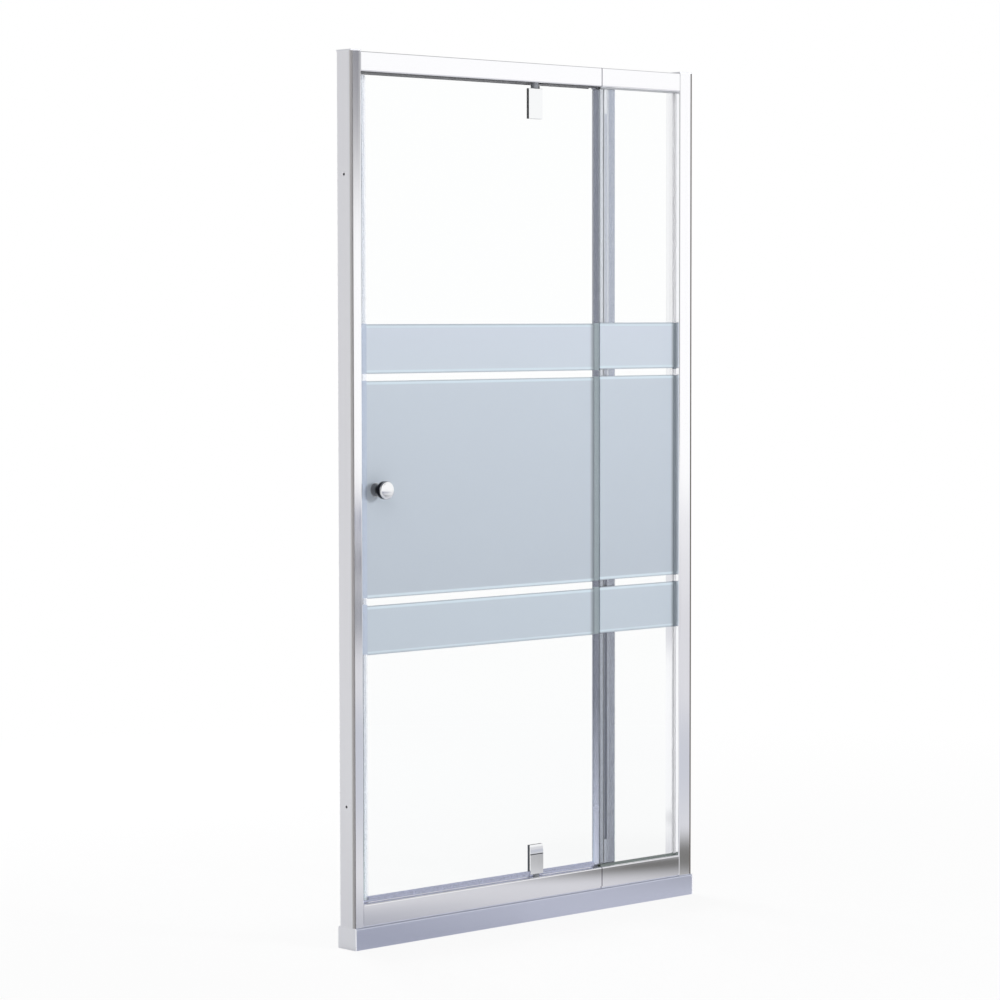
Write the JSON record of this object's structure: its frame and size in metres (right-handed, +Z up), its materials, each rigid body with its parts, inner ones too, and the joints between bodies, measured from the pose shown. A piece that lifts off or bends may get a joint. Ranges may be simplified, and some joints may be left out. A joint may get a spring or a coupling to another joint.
{
  "type": "shower door",
  "caption": "Framed pivot shower door for an alcove, with an in-line fixed pane, frosted bands, a round knob and a plinth strip; the door turns on upright pins.",
  "frame": {"origin": "middle of the plinth's underside, midway between the walls and between the front and back of the frame", "axes": "+X along the opening towards the fixed pane, +Y into the shower, +Z up"},
  "size_m": [1, 0.082, 1.85],
  "materials": {
    "polished_aluminium": "extruded, polished and bright anodised",
    "satin_aluminium": "extruded, satin anodised",
    "mill_aluminium": "extruded, mill finish",
    "clear_glass": "toughened, clear, polished edges",
    "frosted_glass": "frosted, matt",
    "clear_seal": "extruded soft vinyl, translucent",
    "grey_gasket": "extruded rubber",
    "soft_pad": "soft pad",
    "cap_plastic": "moulded, semi-gloss",
    "chrome": "cast, polished and chromium plated",
    "nylon": "turned nylon",
    "steel": "stainless steel, bright"
  },
  "bodies": {
    "frame": {"frame_screws_left": "steel", "frame_screws_right": "steel", "header_door_rail": "polished_aluminium", "header_panel_rail": "polished_aluminium", "header_splice": "mill_aluminium", "jamb_cap_left": "cap_plastic", "jamb_cap_right": "cap_plastic", "jamb_left": "polished_aluminium", "jamb_lock_screws": "steel", "jamb_magnet_strip": "clear_seal", "jamb_right": "polished_aluminium", "panel_frosted_bands": "frosted_glass", "panel_gasket_bottom": "grey_gasket", "panel_gasket_jamb": "grey_gasket", "panel_gasket_top": "grey_gasket", "panel_glass": "clear_glass", "panel_post_gasket": "soft_pad", "pivot_bushes": "nylon", "plinth": "satin_aluminium", "plinth_cap_left": "cap_plastic", "plinth_cap_right": "cap_plastic", "post": "polished_aluminium", "post_bracket_bottom": "polished_aluminium", "post_bracket_top": "polished_aluminium", "sill_door_rail": "polished_aluminium", "sill_panel_rail": "polished_aluminium", "sill_splice": "mill_aluminium", "wall_channel_left": "mill_aluminium", "wall_channel_right": "mill_aluminium"},
    "door": {"door_drip_seals": "clear_seal", "door_fin_seal": "clear_seal", "door_frosted_bands": "frosted_glass", "door_glass": "clear_glass", "door_magnet_seal": "clear_seal", "knob_inner": "chrome", "knob_outer": "chrome", "knob_stud": "steel", "knob_washers": "nylon", "pivot_block_inner_bottom": "chrome", "pivot_block_inner_top": "chrome", "pivot_block_outer_bottom": "chrome", "pivot_block_outer_top": "chrome", "pivot_clamp_screws": "steel", "pivot_pads_bottom": "soft_pad", "pivot_pads_top": "soft_pad", "pivot_pin_bottom": "steel", "pivot_pin_top": "steel"}
  },
  "joints": [
    {"name": "door_swing", "type": "hinge", "parent": "frame", "child": "door", "pos_m": [0.03, -0.005, 0.0925], "axis": [0, 0, 1], "range_deg": [0, 100]}
  ]
}
